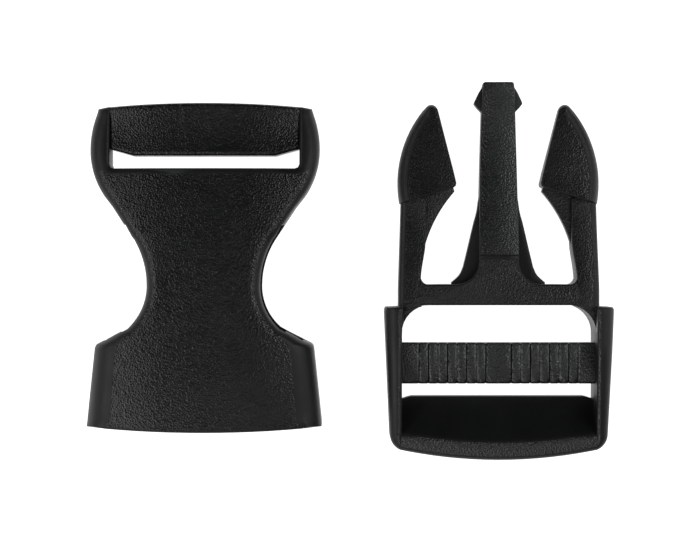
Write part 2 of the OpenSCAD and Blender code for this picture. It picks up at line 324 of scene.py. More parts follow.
def skin(name, rings, cuts=(), below=satinSlot, wall=satinSlot, above=satinSlot):
    # closed skin drawn up through matched rings, the ends split at the given Y
    count = len(rings[0])
    bpy.ops.object.select_all(action="DESELECT")
    bpy.ops.mesh.primitive_circle_add(vertices=count, radius=1, fill_type="NGON")
    piece = bpy.context.object
    piece.name = name
    mesh = piece.data
    mesh.name = name
    for vertex, spot in zip(mesh.vertices, rings[0]):
        vertex.co = spot
    for plastic in plastics:
        mesh.materials.append(plastic)

    bpy.ops.object.mode_set(mode="EDIT")
    for y in cuts:
        bpy.ops.mesh.select_all(action="SELECT")
        bpy.ops.mesh.bisect(plane_co=(0, y, 0), plane_no=(0, 1, 0), threshold=nearCut)
    bpy.ops.mesh.select_all(action="SELECT")
    bpy.ops.object.mode_set(mode="OBJECT")
    if len(mesh.vertices) != count:
        print(name, "has", len(mesh.vertices) - count, "stray points after the cuts")
    for face in mesh.polygons:
        face.material_index = below

    bpy.ops.object.mode_set(mode="EDIT")
    for ring in rings[1:]:
        bpy.ops.mesh.extrude_region_move(TRANSFORM_OT_translate={"value": (0, 0, 1)})
        bpy.ops.object.mode_set(mode="OBJECT")
        for vertex, spot in zip(mesh.vertices[-count:], ring):
            vertex.co = spot
        bpy.ops.object.mode_set(mode="EDIT")
    bpy.ops.object.mode_set(mode="OBJECT")
    tops = {face.index for face in mesh.polygons if face.select}
    for face in mesh.polygons:
        if face.index in tops:
            face.material_index = above
        elif max(face.vertices) >= count:
            face.material_index = wall
    faceOutwards()
    return piece


def block(name, ring, low, high):
    return skin(name, [[(x, y, z) for x, y in ring] for z in (low, high)])


def slab(name, outer, top, bottom, topHeight, bottomHeight, topDepths, bottomDepths, steps=6, **more):
    # a plate with rounded upper and lower edges; top and bottom are the outlines of its flat faces
    rings = []
    for share, rise in reversed(rollSteps(max(2, steps // 2))):
        ring = zip(between(outer, bottom, share), bottomDepths)
        rings.append([(x, y, bottomHeight(x, y) + depth * (1 - rise)) for (x, y), depth in ring])
    for share, rise in rollSteps(steps):
        ring = zip(between(outer, top, share), topDepths)
        rings.append([(x, y, topHeight(x, y) - depth * (1 - rise)) for (x, y), depth in ring])
    return skin(name, rings, **more)


def evenSlab(name, outer, inner, top, depths, steps, finish, cuts=()):
    # a plate that is the same above and below
    return slab(
        name, outer, inner, inner, top, lambda x, y: 2 * middle - top(x, y),
        depths, depths, steps=steps, above=finish, below=finish, cuts=cuts,
    )


def barAlongX(name, stations, section, finish):
    # a bar drawn along X through its cross-sections, each a loop of (y, z)
    rings = [[(x, y, z) for y, z in section(x)] for x in stations]
    return skin(name, rings, below=finish, wall=finish, above=finish)


def throughOpening(name, outline, wide, top, bottom, depth):
    # cutter for a hole whose edges are rounded over on both faces, out to the wide outline
    turns = [math.radians(angle) for angle in (0, 20, 40, 60)]
    flare = [(1 - math.cos(turn)) / (1 - math.cos(turns[-1])) for turn in turns]
    drops = [1 - math.sin(turn) / math.sin(turns[-1]) for turn in turns]
    past = between(outline, wide, 2)
    rings = [[(x, y, -2 * clear) for x, y in past]]
    rings.append([(x, y, bottom(x, y) - depth / 3) for x, y in past])
    for share, drop in reversed(list(zip(flare, drops))):
        rings.append([(x, y, bottom(x, y) + depth * drop) for x, y in between(outline, wide, share)])
    for share, drop in zip(flare, drops):
        rings.append([(x, y, top(x, y) - depth * drop) for x, y in between(outline, wide, share)])
    rings.append([(x, y, top(x, y) + depth / 3) for x, y in past])
    rings.append([(x, y, thickness + 2 * clear) for x, y in past])
    return skin(name, rings)


def crossCut(piece, places, height):
    # the grained face is cut along Y as well, and every point of it set to its height
    mesh = piece.data
    for x in places:
        for face in mesh.polygons:
            face.select = face.material_index == panelSlot
        bpy.ops.object.mode_set(mode="EDIT")
        bpy.ops.mesh.select_mode(type="FACE")
        bpy.ops.mesh.bisect(plane_co=(x, 0, 0), plane_no=(1, 0, 0), threshold=nearCut)
        bpy.ops.mesh.select_mode(type="VERT")
        bpy.ops.object.mode_set(mode="OBJECT")
    for index in {i for face in mesh.polygons if face.material_index == panelSlot for i in face.vertices}:
        spot = mesh.vertices[index].co
        spot.z = height(spot.x, spot.y)


def combine(piece, other, operation):
    only(piece)
    join = piece.modifiers.new("join", "BOOLEAN")
    join.operation = operation
    join.solver = "EXACT"
    join.object = other
    bpy.ops.object.modifier_apply(modifier="join")
    only(other)
    bpy.ops.object.delete()


def cutAway(piece, other):
    combine(piece, other, "DIFFERENCE")


def fuse(piece, other):
    combine(piece, other, "UNION")


def settle(piece, origin):
    # from mm to metres in the object's frame, then smooth shading
    only(piece)
    piece.scale = (mm, mm, mm)
    piece.location = origin
    bpy.ops.object.transform_apply(location=True, rotation=True, scale=True)
    bpy.ops.object.shade_smooth_by_angle(angle=math.radians(smoothAngle))
    print(piece.name, "has", sum(len(face.vertices) - 2 for face in piece.data.polygons), "triangles")
    return piece


# Socket: its shell, the room inside, the slot and the webbing bar

shellSizes = {
    "plate": 1.5,
    "archFrom": 6.0,         # the upper face is level up to here, then falls along an arc
    "archRadius": 165.0,
    "crownRadius": 125.0,
    "edgeFrom": 6.0,         # between these half widths it falls faster to the sides
    "edgeTo": 12.0,
    "edgeFall": 0.011,
    "length": 44.1,
    "endBow": 0.62,
    "endHalf": 14.0,
    "rim": 1.5,              # width of the rounding along waist, shoulders and cheeks
    "barrelTo": 11.2,
    "barrelRoll": 0.85,      # depth of the rounding as a share of its width, on the barrel and past it
    "neckRoll": 0.95,
    "grainFrom": 12.5,       # past this the rounding has grain as well where it lies flatter than the tilt
    "grainTilt": 30.0,
    "grainTo": 34.75,
    "archCuts": (6.5, 42.4),
    "crownCuts": (0, 2, 4, 6, 8.2, 10.5),
}

# Right side of its outline: points, lines from point to point, and arcs as x, y, radius.
# The names with Flat belong to the edge of the flat face, into which the rounding runs.

shellEdge = {
    "mouthHalf": 13.2,
    "mouthCorner": 15.42,
    "mouthBow": 0.7,
    "mouthRoll": 0.32,
    "foot": (15.74, 0.72),
    "footFlat": (13.1, 0.95),
    "flank": ((15.7, 1.4), (14.74, 10.6)),
    "flankFlat": ((12.4, 1.6), (11.7, 10.6)),
    "flankEnd": (14.68, 11.1),
    "flankEndFlat": (11.65, 11.2),
    "corner": (13.88, 11.1, 0.8),
    "cornerFlat": (11.3, 11.3, 0.36),
    "slope": ((13.75, 12.05), (10.5, 13.7)),
    "slopeFlat": ((11.3, 11.75), (9.75, 12.75)),
    "waist": (15.0, 19.5, 7.4),
    "hip": (19.4, 19.5, 11.8),
    "neck": ((9.6, 26.05), (12.9, 31.05)),
    "neckFlat": ((8.6, 26.75), (11.95, 31.75)),
    "shoulder": (4.15, 38, 11.3),
    "cheek": (1.89, 38, 13.56),
    "cheekEnd": (14.4, 43.35),
    "cheekEndFlat": (13.4, 43.0),
    "endShares": (0.94, 0.8, 0.6, 0.4, 0.2, 0),
    "endPull": 0.99,
    "endRoll": 0.35,
}

roomSizes = {
    "entranceHalf": 13.32,
    "entranceTo": 3.25,
    "entranceEnd": (10.76, 6.6),
    "ledgeHalf": 10.96,
    "windowFrom": 12.2,
    "windowTo": 27.7,
    "windowOut": 22.0,
    "armHalf": 13.17,        # half width and half height of the way for the arms
    "armHeight": 2.4,
    "hollows": ((5.05, 9.51, 33.85), (-9.51, -5.05, 33.85), (-3.65, 3.65, 30.4)),   # from x, to x, to y
    "flare": ((13.95, 4.1, -0.3), (13.0, 3.3, 1.35)),   # half width, half height, y
}

slotSizes = {
    "half": 12.75,
    "from": 35.25,
    "frontXs": (0, 4, 8, 12.1),
    "frontXsWide": (0, 4, 8, 12.25),
    "corner": ((12.55, 35.4), (12.75, 35.85)),
    "cornerWide": ((12.9, 35.1), (13.08, 35.7)),
    "frontWidth": 0.45,      # width of its rounded edges in front and on the cheeks, and their depth
    "cheekWidth": 0.33,
    "depth": 0.35,
    "cheekFrom": 36.5,
    "cheekSteps": 10,
}

webbingBarSizes = {
    "from": 37.0,
    "flareFrom": 9.56,       # from here to its ends the bar is cut back, which widens the slot
    "flare": 0.9,
    "proud": 0.02,
    "rise": 0.66,
    "dish": 0.5,
    "dipFrom": 12.3,
    "dip": 0.12,
    "frontFoot": 1.3,
    "endFoot": 1.0,
    "topShares": [0.12 + 0.1 * i for i in range(9)],   # of the way from its end to the slot
    "stations": (0, 2, 4, 6, 8, 9.56, 10.6, 11.7, 12.3, 12.45, 12.6, 12.75, 13.1),
}


def roof(y):
    s = shellSizes
    return thickness - max(0, y - s["archFrom"]) ** 2 / (2 * s["archRadius"])


def crown(x, y):
    # height of the upper face, which falls away to both sides as well
    s = shellSizes
    edge = max(0, min(s["edgeTo"], abs(x)) - s["edgeFrom"])
    return roof(y) - x * x / (2 * s["crownRadius"]) - s["edgeFall"] * edge ** 2


def tableLevel(x, y):
    return 0.0


def barEnd(x):
    s = shellSizes
    return s["length"] - s["endBow"] * (x / s["endHalf"]) ** 2


def shellOutlines():
    s = shellSizes
    e = shellEdge
    rim = s["rim"]
    across = [e["mouthHalf"] * i / 6 for i in range(7)]
    mouth = [(x, e["mouthBow"] * (x / e["mouthCorner"]) ** 2) for x in across]
    pairs = [((x, y), (x, y + e["mouthRoll"])) for x, y in mouth]
    pairs += [(e["foot"], e["footFlat"])]
    pairs += zip(line(*e["flank"], 6), line(*e["flankFlat"], 6))
    pairs += [(e["flankEnd"], e["flankEndFlat"])]
    pairs += zip(arc(*e["corner"], 20, 60, 2), arc(*e["cornerFlat"], 10, 60, 2))
    pairs += zip(line(*e["slope"], 5), line(*e["slopeFlat"], 5))
    pairs += zip(arc(*e["waist"], 229, 180, 14), widerArc(e["waist"], rim, 231, 180, 14))
    pairs += zip(arc(*e["hip"], 175, 149, 8), widerArc(e["hip"], rim, 175, 149, 8))
    pairs += zip(line(*e["neck"], 5), line(*e["neckFlat"], 5))
    pairs += zip(arc(*e["shoulder"], -35, 0, 10), widerArc(e["shoulder"], -rim, -35, 0, 10))
    pairs += zip(arc(*e["cheek"], 4, 20, 5), widerArc(e["cheek"], -rim, 4, 20, 5))
    pairs += [(e["cheekEnd"], e["cheekEndFlat"])]
    end = [(s["endHalf"] * share, barEnd(s["endHalf"] * share)) for share in e["endShares"]]
    pairs += [((x, y), (x * e["endPull"], y - e["endRoll"])) for x, y in end]
    outer, inner = apart(pairs)
    return bothSides(outer), bothSides(inner)


def buildShell():
    s = shellSizes
    outer, inner = shellOutlines()
    bottom = pulledIn(outer, inner, bottomRoll)
    cutFrom, cutTo = s["archCuts"]
    cuts = sorted({round(y, 6) for x, y in bottom if cutFrom < y < cutTo})
    depths = []
    for a, b in zip(outer, inner):
        share = s["barrelRoll"] if a[1] < s["barrelTo"] else s["neckRoll"]
        depths.append(share * gap(a, b))
    shell = slab(
        "socketShell", outer, inner, bottom, crown, tableLevel,
        depths, [bottomRoll] * len(outer), above=panelSlot, cuts=cuts,
    )
    crossCut(shell, mirrored(s["crownCuts"]), crown)
    level = math.cos(math.radians(s["grainTilt"]))
    for face in shell.data.polygons:
        if face.center.y > s["grainTo"]:
            face.material_index = satinSlot
        elif face.center.y > s["grainFrom"] and face.normal.z > level:
            face.material_index = panelSlot
    return shell


def hollowOut(shell):
    s = roomSizes
    plate = shellSizes["plate"]
    side = line((s["ledgeHalf"], -clear), (s["ledgeHalf"], s["windowTo"]), 18)
    ring = bothSides(side + [(s["ledgeHalf"], s["windowTo"])])
    cuts = sorted({round(y, 6) for x, y in side if y > shellSizes["archFrom"]})
    floor = [(x, y, plate) for x, y in ring]
    ceiling = [(x, y, roof(y) - plate) for x, y in ring]
    cutAway(shell, skin("room", [floor, ceiling], cuts=cuts))

    start = (s["entranceHalf"], -clear)
    ring = [start, (s["entranceHalf"], s["entranceTo"]), s["entranceEnd"]]
    cutAway(shell, block("entrance", bothSides(ring), plate, thickness - plate))
    window = [(s["windowOut"], s["windowFrom"]), (s["windowOut"], s["windowTo"])]
    ring = [start, (s["armHalf"], s["windowFrom"])] + window
    cutAway(shell, block("armWay", bothSides(ring), middle - s["armHeight"], middle + s["armHeight"]))
    for x0, x1, y1 in s["hollows"]:
        y0 = s["windowTo"] - clear / 2
        ring = [(x0, y0), (x1, y0), (x1, y1), (x0, y1)]
        cutAway(shell, block("neckHollow", ring, plate, roof(y1) - plate))
    rings = []
    for half, height, y in s["flare"]:
        low, high = middle - height, middle + height
        rings.append([(-half, y, low), (half, y, low), (half, y, high), (-half, y, high)])
    cutAway(shell, skin("mouthFlare", rings))


def cutSlot(shell):
    # the slot's cutter takes the whole space between the cheeks, and the bar is put in afterwards
    s = slotSizes
    cheekYs = [s["cheekFrom"] + i for i in range(s["cheekSteps"] + 1)]
    outline = [(x, s["from"]) for x in s["frontXs"]] + list(s["corner"])
    outline += [(s["half"], y) for y in cheekYs] + [(0, cheekYs[-1])]
    wide = [(x, s["from"] - s["frontWidth"]) for x in s["frontXsWide"]] + list(s["cornerWide"])
    wide += [(s["half"] + s["cheekWidth"], y) for y in cheekYs] + [(0, cheekYs[-1])]
    outline, wide = bothSides(outline), bothSides(wide)
    cutAway(shell, throughOpening("slotCutter", outline, wide, crown, tableLevel, s["depth"]))


def webbingBarSection(x):
    # its top is dished between the end and the slot
    s = webbingBarSizes
    flare = min(1, max(0, (abs(x) - s["flareFrom"]) / (slotSizes["half"] - s["flareFrom"])))
    front = s["from"] + s["flare"] * flare
    end = barEnd(x)
    top = crown(x, end) + s["proud"] - s["dip"] * ease(abs(x), s["dipFrom"], slotSizes["half"])

    def over(share, radius=0):
        height = top + s["rise"] * share * share - s["dish"] * share * (1 - share)
        return (end + (front - end) * share, height, radius)

    corners = [(front, s["frontFoot"], 0.5), (end, s["endFoot"], 0.4), (end, top, 0.45)]
    return rounded(corners + [over(share) for share in s["topShares"]] + [over(1, 0.4)])


def buildSocket():
    shell = buildShell()
    hollowOut(shell)
    cutSlot(shell)
    stations = mirrored(webbingBarSizes["stations"])
    fuse(shell, barAlongX("webbingBar", stations, webbingBarSection, panelSlot))
    print("socket cut and its bar put in")
    return shell


# Plug frame: cheeks and lip in one shell, crossbar, prong, ladder bar and end bar

frameSizes = {
    "levelTo": -6.0,         # the cheeks' tops are level up to here, then slope, then fall over the lip
    "slopeTo": -17.7,
    "slopeFall": 1.6,
    "lipFall": 1.0,
    "lipEnd": -20.55,
    "lipBow": 1.2,
    "lipRoll": 0.5,
    "heelFrom": -18.55,      # the lip's lower edge rises from here
    "heelRise": 0.6,
    "corner": (12.25, -17.05, 2.3),
    "cornerShares": (0.78, 0.74, 0.7, 0.65, 0.6, 0.56, 0.53),
    "cheekFoot": 14.55,
    "cheekSpread": 0.75,
    "cheekTo": -0.4,
    "cheekFlat": 13.45,
    "cheekInside": 12.95,
    "cheekYs": (-16, -14.5, -13, -11.5, -10, -8.5, -7.2, -6, -4.8, -3.5, -2.2, -1.2),
    "cheekEnd": (((15.28, -0.4), (13.45, -0.55)), ((15.1, -0.08), (13.42, -0.42))),
    "shoulderXs": (13.3, 12, 8, 4, 0),
    "shoulderRoll": 0.35,
    "rollShare": 0.9,
    "crestFrom": -18.4,
    "crestBow": 1.2,
    "openingCorner": (9.25, -3.55, 3.7),
    "openingTo": 0.15,
    "openingWidth": 0.22,    # width and depth of its rounded edge
    "openingDepth": 0.28,
    "openingDips": (0.75, 0.75),   # how far it lies below the crest, in the middle and at the cheeks
    "wideDips": (0.8, 0.78),
    "slopeCuts": (-17.5, -1.0),
    "ledgeHalf": 12.93,
    "ledge": (-3.7, 0.3),
    "ledgeDrop": 0.03,
}

# Right side of the crossbar's outline: pairs of the outer edge and the edge of the flat face, and fillets

crossbarSizes = {
    "top": 8.3,
    "slotXs": (0, 3, 6, 9.45),
    "slotSide": (0.15, 0.4),
    "slotEnd": (((9.95, 0.12), (9.95, 0.4)), ((10.45, 0.06), (10.45, 0.35)), ((10.9, -0.06), (10.9, 0.1))),
    "end": (
        ((12.3, -0.8), (12.2, -0.5)),
        ((13.25, -0.8), (12.4, -0.5)),
        ((13.25, 0.4), (12.4, 0.4)),
        ((13.25, 1.3), (12.4, 1.2)),
        ((10.9, 1.4), (10.8, 1.2)),
        ((10.5, 3.6), (10.2, 2.9)),
    ),
    "armFillet": (9.42, 3.9, 0.97),
    "armSide": (((8.0, 2.95), (8.0, 2.7)), ((6.8, 2.95), (6.8, 2.72))),
    "prongFillet": (5.65, 5.95, 3.0),
    "prongRoot": (((2.65, 7.1), (2.45, 6.2)), ((1.2, 7.1), (1.2, 6.2)), ((0, 7.1), (0, 6.2))),
    "armFilletWidth": 0.23,
    "prongFilletWidth": 0.22,
    "rollShare": 0.9,
    "rootDepth": 0.35,
    "rootFrom": 6.2,
}

# Prong: right sides of its spine and of the thinner flanges beside it, from the crossbar to the tip

prongSizes = {
    "length": 30.0,
    "spine": (
        (0, 2), (2.65, 2), (2.65, 4), (2.65, 6), (2.65, 7), (2.65, 8), (2.6, 11), (2.54, 14), (2.48, 17),
        (2.42, 20), (2.37, 22), (2.32, 24), (2.26, 26), (2.18, 28), (2.1, 29.6), (2.02, 29.9), (1.8, 30),
        (0, 30),
    ),
    "spineRoll": 0.16,
    "spineFlatTo": 29.85,
    "spineCuts": (6, 29),
    "spineTop": 8.22,
    "fall": 1.82,
    "fallFrom": 5.0,
    "fallTo": 24.0,
    "tipRise": 0.11,
    "flanges": (
        (0, 2.3), (6.2, 2.3), (6.27, 3.2), (5.67, 3.7), (5.26, 4.1), (5.0, 4.5), (4.67, 5.3), (4.38, 6.5),
        (4.0, 8.1), (3.63, 9.7), (3.25, 11.3), (3.01, 12.1), (2.83, 12.9), (2.68, 14), (2.3, 16), (2.0, 24),
        (2.2, 25.9), (2.47, 26.2), (2.85, 26.6), (3.2, 27.05), (3.24, 27.2), (3.18, 27.4), (2.62, 28.6),
        (2.14, 29.4), (1.9, 29.8), (0, 29.8),
    ),
    "flangeRoll": 0.13,
    "flangeHalf": 1.2,
}

ladderSizes = {
    "from": -10.35,
    "to": -4.85,
    "bottom": 3.0,
    "top": 7.0,
    "plainTo": 0.8,
    "end": 13.3,
    "grooves": 8,
    "firstGroove": 1.7,
    "groovePitch": 1.28,
    "grooveHalf": 0.09,
    "grooveLip": 0.06,
    "grooveDepth": 0.20,     # every second groove is a finer one
    "fineDepth": 0.13,
    "grooveSpan": 0.3,
    "grooveLean": 0.4,
}

endBarSizes = {
    "front": -12.12,
    "frontTop": 3.5,
    "frontFoot": 1.35,
    "frontTaper": 0.35,
    "taperAt": (11.6, 12.9),
    "foot": (-14.05, 0.02),
    "back": 1.0,
    "backFoot": 0.5,
    "proud": 0.015,
    "sink": 0.07,            # its ends stay under the cheeks
    "sinkAt": (12.5, 12.9),
    "crestRadius": 1.6,
    "lipUp": 0.85,           # faces that look up more than this, and back less than that, are the lip's
    "lipBack": 0.3,
    "stations": (0, 2, 4, 6, 8, 10, 11.6, 12.2, 12.6, 12.9, 13.3),
    "hollowHalf": 12.0,
    "hollow": ((-15.25, -clear), (-15.25, 1.9), (-17.3, 5.5), (-17.45, 5.3), (-17.45, -clear)),
}


def frameTop(x, y):
    s = frameSizes
    slope = min(1, max(0, (s["levelTo"] - y) / (s["levelTo"] - s["slopeTo"])))
    lip = max(0, (s["slopeTo"] - y) / (s["slopeTo"] - s["lipEnd"]))
    return thickness - s["slopeFall"] * slope - s["lipFall"] * lip


def frameBottom(x, y):
    return max(0, (frameSizes["heelFrom"] - y) * frameSizes["heelRise"])


def crest(x):
    # the line along which the end bar's slope meets the lip
    s = frameSizes
    return s["crestFrom"] + s["crestBow"] * (min(abs(x), s["cheekInside"]) / s["cheekInside"]) ** 2


def frameOutlines():
    s = frameSizes
    cornerX, cornerY, radius = s["corner"]
    lip = [(cornerX * i / 7, s["lipEnd"] + s["lipBow"] * (i / 7) ** 2) for i in range(8)]
    pairs = [((x, y), (x, y + s["lipRoll"])) for x, y in lip]
    corner = arc(cornerX, cornerY, radius, -78, 0, 7)[1:]
    for spot, share in zip(corner, s["cornerShares"]):
        pairs.append((spot, toward((cornerX, cornerY), spot, share)))
    for y in s["cheekYs"]:
        out = s["cheekFoot"] + s["cheekSpread"] * (y - cornerY) / (s["cheekTo"] - cornerY)
        pairs.append(((out, y), (s["cheekFlat"], y)))
    pairs += s["cheekEnd"]
    pairs += [((x, 0), (x, -s["shoulderRoll"])) for x in s["shoulderXs"]]
    outer, inner = apart(pairs)
    return bothSides(outer), bothSides(inner)


def openingOutline(reach, dips):
    # right half of the opening between the cheeks, from the end bar to the crossbar
    s = frameSizes
    x, y, radius = s["openingCorner"]
    inside = s["cheekInside"]
    half = [(inside * i / 6, crest(inside * i / 6) - dips[0]) for i in range(6)]
    half += [(inside + reach, crest(inside) - dips[1])]
    half += [(inside + reach, cheekY) for cheekY in s["cheekYs"] if cheekY < y]
    half += arc(x, y, radius + reach, 0, 90, 8)
    half += [(4, s["openingTo"] + reach), (0, s["openingTo"] + reach)]
    return bothSides(half)


def buildFrameShell():
    s = frameSizes
    outer, inner = frameOutlines()
    bottom = pulledIn(outer, inner, bottomRoll)
    cutFrom, cutTo = s["slopeCuts"]
    cuts = sorted({round(y, 6) for x, y in bottom if cutFrom < y < cutTo})
    depths = [s["rollShare"] * gap(a, b) for a, b in zip(outer, inner)]
    shell = slab(
        "plugFrame", outer, inner, bottom, frameTop, frameBottom,
        depths, [bottomRoll] * len(outer), above=barSlot, cuts=cuts,
    )
    outline = openingOutline(0, s["openingDips"])
    wide = openingOutline(s["openingWidth"], s["wideDips"])
    opening = throughOpening("frameOpening", outline, wide, frameTop, frameBottom, s["openingDepth"])
    cutAway(shell, opening)

    low = crossbarSizes["top"] - s["ledgeDrop"]
    high = thickness + clear
    y0, y1 = s["ledge"]
    ledge = [(y0, low), (y1, low), (y1, high), (y0, high)]
    ends = (-s["ledgeHalf"], s["ledgeHalf"])
    cutAway(shell, barAlongX("shoulderLedge", ends, lambda x: ledge, prongSlot))
    return shell


def addCrossbar(plug):
    s = crossbarSizes
    outerY, innerY = s["slotSide"]
    pairs = [((x, outerY), (x, innerY)) for x in s["slotXs"]]
    pairs += s["slotEnd"] + s["end"]
    flat = widerArc(s["armFillet"], s["armFilletWidth"], -35, -90, 5)
    pairs += zip(arc(*s["armFillet"], -15, -90, 5), flat)
    pairs += s["armSide"]
    flat = widerArc(s["prongFillet"], s["prongFilletWidth"], -90, -178, 8)
    pairs += zip(arc(*s["prongFillet"], -90, -180, 8), flat)
    pairs += s["prongRoot"]
    outer, inner = apart(pairs)
    outer, inner = bothSides(outer), bothSides(inner)
    depths = []
    for a, b in zip(outer, inner):
        depths.append(s["rollShare"] * gap(a, b) if a[1] < s["rootFrom"] else s["rootDepth"])
    fuse(plug, evenSlab("crossbar", outer, inner, lambda x, y: s["top"], depths, 6, prongSlot))


def spineTop(x, y):
    # falls from the crossbar, and rises a little again at the tip
    s = prongSizes
    fall = s["fall"] * ease(y, s["fallFrom"], s["fallTo"])
    return s["spineTop"] - fall + s["tipRise"] * max(0, y - s["fallTo"])


def addProng(plug):
    s = prongSizes
    outer = bothSides(s["spine"])
    inner = bothSides([(max(0, x - s["spineRoll"]), min(y, s["spineFlatTo"])) for x, y in s["spine"]])
    cutFrom, cutTo = s["spineCuts"]
    cuts = [y for x, y in s["spine"] if cutFrom < y < cutTo]
    depths = [s["spineRoll"]] * len(outer)
    fuse(plug, evenSlab("spine", outer, inner, spineTop, depths, 3, prongSlot, cuts=cuts))

    outer = bothSides(s["flanges"])
    inner = bothSides([(max(0, x - s["flangeRoll"]), y) for x, y in s["flanges"]])
    depths = [s["flangeRoll"]] * len(outer)
    top = middle + s["flangeHalf"]
    fuse(plug, evenSlab("flanges", outer, inner, lambda x, y: top, depths, 3, satinSlot))


def ladderSection(x):
    s = ladderSizes
    place = (abs(x) - s["firstGroove"]) / s["groovePitch"]
    aside = abs(place - round(place)) * s["groovePitch"]
    groove = 0
    if -0.5 < place < s["grooves"] - 0.5:
        if aside < s["grooveHalf"] / 2:
            groove = s["fineDepth"] if round(place) % 2 else s["grooveDepth"]
        elif aside < s["grooveHalf"] * 1.5:
            groove = s["grooveLip"]
    top = s["top"] - groove
    lean = groove * s["grooveLean"]
    return rounded([
        (s["from"], s["bottom"], 0.4), (s["to"], s["bottom"], 0.4),
        (s["to"] - lean, top, 0.35), (s["from"] + lean, top, 0.55),
    ])


def addLadderBar(plug):
    s = ladderSizes
    stations = [0, s["plainTo"]]
    for i in range(s["grooves"]):
        groove = s["firstGroove"] + i * s["groovePitch"]
        sides = (-s["grooveSpan"], -s["grooveHalf"], 0, s["grooveHalf"], s["grooveSpan"])
        stations += [groove + side for side in sides]
    stations += [s["end"]]
    fuse(plug, barAlongX("ladderBar", mirrored(stations), ladderSection, prongSlot))


def endBarSection(x):
    # loop from its front down, under the slope and up over the crest
    s = endBarSizes
    front = s["front"] - s["frontTaper"] * ease(abs(x), *s["taperAt"])
    top = crest(x)
    back = top - s["back"]
    proud = s["proud"] - s["sink"] * ease(abs(x), *s["sinkAt"])
    return rounded([
        (front, s["frontTop"], 0.5),
        (front, s["frontFoot"], 0.3),
        (*s["foot"], 0.3),
        (back, s["backFoot"], 0.2),
        (back, frameTop(x, back) + proud, 0),
        (top, frameTop(x, top) + proud, s["crestRadius"]),
    ], steps=6)


def addEndBar(plug):
    s = endBarSizes
    endBar = barAlongX("endBar", mirrored(s["stations"]), endBarSection, satinSlot)
    for face in endBar.data.polygons:
        if face.normal.z > s["lipUp"] and face.normal.y < s["lipBack"]:
            face.material_index = barSlot
    fuse(plug, endBar)
    ends = (-s["hollowHalf"], s["hollowHalf"])
    cutAway(plug, barAlongX("endBarHollow", ends, lambda x: s["hollow"], satinSlot))


def buildPlugFrame():
    plug = buildFrameShell()
    addCrossbar(plug)
    addProng(plug)
    addLadderBar(plug)
    addEndBar(plug)
    print("plug frame fused")
    return plug


# Sprung arms, shaped as the right one: beam, web inside it and barb

beamSizes = {
    "from": 0.02,
    "step": 0.714,
    "steps": 20,
    "root": (11.8, -0.05),
    "end": (11.3, 14.9),
    "inside": 10.42,
    "insideTaper": 0.68,
    "insideAt": (3.4, 9.0),
    "insideRoll": 0.16,
    "outside": 13.4,
    "outsideLean": 0.029,
    "leanFrom": 2.5,
    "outsideRoll": 0.78,
    "rollShare": 0.8,
    "half": 2.2,             # half height at the barb, and how much more it is at the root
    "rootMore": 1.11,
    "moreAt": (0.5, 13.0),
    "bendX": 11.75,          # the real beam bends between these two
    "bendFrom": 2.6,
    "bendTo": 12.0,
}

webSizes = {
    "half": 1.1,
    "roll": 0.13,
    "curve": (-8.0, 3.1, 18.5),
    "curveAngles": (41.5, 8),
    "curveRoll": (0.14, 0.05),
    "backRoll": 0.05,
    "back": ((11.0, 5.6), (11.2, 7), (11.2, 9), (11.2, 12), (11.2, 15.5), (8.5, 16.6), (6.2, 16.6)),
}

barbSizes = {
    "half": 3.1,
    "tipHalf": 1.6,
    "from": 13.7,
    "to": 26.9,
    "levelling": 2.2,
    "side": (-2.1, 16.5, 15.6),
    "sideRoll": 1.4,
    "tip": (8.95, 26.2, 0.85),
    "tipFlat": (8.85, 26.05, 0.35),
    "inside": ((8.06, 26.2), (5.72, 16.9)),
    "insideFlat": ((8.27, 26.0), (5.95, 16.9)),
    "heel": (((5.65, 16.45), (5.9, 16.5)), ((5.72, 16.1), (5.92, 16.25)), ((5.95, 15.92), (6.0, 16.08))),
    "catch": ((6.6, 15.7), (11.9, 14.05)),
    "catchRoll": (0.04, 0.17),
    "sideDepth": 2.1,        # depth of the broad rounding by its width, and of the narrow ones
    "edgeDepth": 0.8,
    "broad": 0.5,
    "deepest": 0.75,         # as a share of the half height
}


def buildBeam(name):
    s = beamSizes
    stations = [s["from"] + s["step"] * i for i in range(s["steps"] + 1)]
    pairs = [(s["root"], s["root"])]
    for y in stations:
        x = s["outside"] - s["outsideLean"] * max(0, y - s["leanFrom"])
        pairs.append(((x, y), (x - s["outsideRoll"], y)))
    pairs.append((s["end"], s["end"]))
    for y in reversed(stations):
        x = s["inside"] - s["insideTaper"] * ease(y, *s["insideAt"])
        pairs.append(((x, y), (x + s["insideRoll"], y)))
    outer, inner = apart(pairs)
    depths = [s["rollShare"] * gap(a, b) for a, b in pairs]

    def beamTop(x, y):
        return middle + s["half"] + s["rootMore"] * (1 - ease(y, *s["moreAt"]))

    return evenSlab(name, outer, inner, beamTop, depths, 4, fineSlot, cuts=stations[1:-1])


def addWeb(arm, name):
    s = webSizes
    rollX, rollY = s["curveRoll"]
    pairs = [((x, y), (x + rollX, y + rollY)) for x, y in arc(*s["curve"], *s["curveAngles"], 14)]
    pairs += [((x, y), (x - s["backRoll"], y)) for x, y in s["back"]]
    outer, inner = apart(pairs)
    depths = [s["roll"]] * len(outer)
    fuse(arm, evenSlab(name, outer, inner, lambda x, y: middle + s["half"], depths, 3, fineSlot))


def barbHalfHeight(y):
    # falls towards the tip and levels out there
    s = barbSizes
    left = min(1, max(0, (s["to"] - y) / (s["to"] - s["from"])))
    return s["tipHalf"] + (s["half"] - s["tipHalf"]) * left ** s["levelling"]


